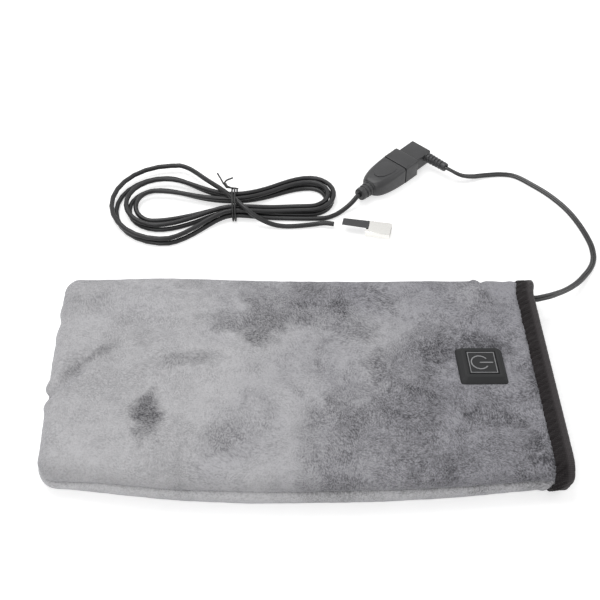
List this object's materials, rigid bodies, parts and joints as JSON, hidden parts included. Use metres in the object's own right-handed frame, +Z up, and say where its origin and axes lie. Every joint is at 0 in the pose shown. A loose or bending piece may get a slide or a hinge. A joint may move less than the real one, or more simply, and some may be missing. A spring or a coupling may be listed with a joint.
{
  "type": "heated spa mitt",
  "caption": "Plush pouch mitt with a bound open mouth, a soft square power button on top, a flat lead with a right-angle plug, and a tied extension cord.",
  "frame": {"origin": "under the middle of the mitt, on the surface that it lies on", "axes": "+X along the mitt to its open mouth, +Y away from the camera, +Z up"},
  "size_m": [0.3532, 0.3215, 0.0312],
  "materials": {
    "plush": "long grey plush",
    "wadding": "needled fleece",
    "cloth": "woven glass cloth",
    "wire": "silicone-sleeved wire",
    "cutout": "moulded",
    "lining": "short pile",
    "binding": "gathered satin-weave tape",
    "button": "soft matte",
    "icon": "moulded",
    "tray": "moulded",
    "board": "lacquered glass-fibre laminate",
    "chip": "moulded",
    "led": "clear",
    "cord": "smooth, half gloss",
    "plug": "satin",
    "nickel": "nickel plated",
    "insulator": "moulded",
    "contact": "gold plated",
    "tie": "coated wire"
  },
  "bodies": {
    "mitt": {"outer_top_panel": "plush", "outer_bottom_panel": "plush", "wadding_top": "wadding", "wadding_bottom": "wadding", "heater_cloth_top": "cloth", "heater_cloth_bottom": "cloth", "heating_wire_top": "wire", "heating_wire_bottom": "wire", "thermal_cutout": "cutout", "lining_top": "lining", "lining_bottom": "lining", "mouth_binding": "binding", "controller_base": "tray", "controller_cover": "button", "control_board": "board", "controller_chip": "chip", "switch_body": "chip", "resistor_near": "icon", "resistor_far": "icon", "status_led_near": "led", "status_led_far": "led", "inner_lead": "cord", "lead_cord": "cord", "angle_plug_body": "plug", "angle_plug_shell": "nickel", "angle_plug_insulator": "insulator", "angle_plug_contact_1": "contact", "angle_plug_contact_2": "contact", "angle_plug_contact_3": "contact", "angle_plug_contact_4": "contact"},
    "power_button": {"button_cap": "button", "icon_ring": "icon", "icon_bar": "icon", "icon_frame": "icon", "switch_plunger": "icon"},
    "extension_cable": {"socket_body": "plug", "socket_shell": "nickel", "socket_insulator": "insulator", "socket_contact_1": "contact", "socket_contact_2": "contact", "socket_contact_3": "contact", "socket_contact_4": "contact", "extension_cord_socket_end": "cord", "extension_cord_hank": "cord", "extension_cord_plug_end": "cord", "hank_tie": "tie", "end_plug_body": "plug", "end_plug_shell": "nickel", "end_plug_insulator": "insulator", "end_plug_contact_1": "contact", "end_plug_contact_2": "contact", "end_plug_contact_3": "contact", "end_plug_contact_4": "contact"}
  },
  "joints": [
    {"name": "button_press", "type": "slide", "parent": "mitt", "child": "power_button", "axis": [0.0739, 0.0026, 0.9973], "range_m": [-0.0008, 0], "stiffness_N_per_m": 2500},
    {"name": "unplug", "type": "slide", "parent": "mitt", "child": "extension_cable", "axis": [-0.6947, -0.7193, 0], "range_m": [0, 0.02]}
  ]
}
